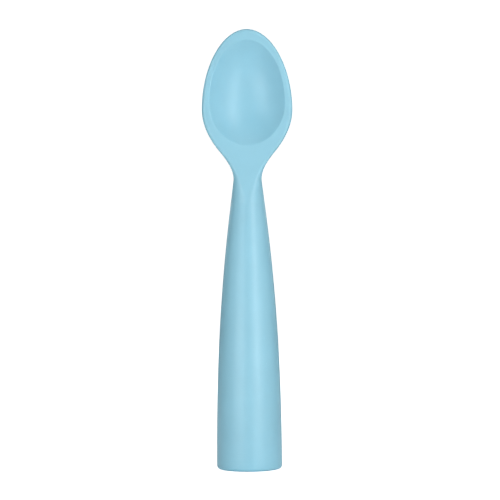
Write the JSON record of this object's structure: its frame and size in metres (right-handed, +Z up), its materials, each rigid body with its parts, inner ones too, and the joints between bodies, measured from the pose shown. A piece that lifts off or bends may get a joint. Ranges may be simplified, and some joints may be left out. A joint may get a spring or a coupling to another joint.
{
  "type": "baby feeding spoon",
  "caption": "Soft silicone baby feeding spoon with an oval bowl, a flat rim and neck, and a round tapered handle that stands upright on its flat end.",
  "frame": {"origin": "centre of the flat base that the spoon stands on", "axes": "+Z up along the handle to the bowl's tip; the bowl's hollow opens to -Y; the spoon is symmetric in X"},
  "size_m": [0.0298, 0.0216, 0.1448],
  "materials": {
    "silicone": "matte",
    "stiffener_nylon": "matte",
    "core_plastic": "satin",
    "plug_plastic": "matte"
  },
  "bodies": {
    "root": {"silicone_skin": "silicone", "neck_stiffener": "stiffener_nylon", "handle_core": "core_plastic", "base_plug": "plug_plastic"}
  },
  "joints": []
}
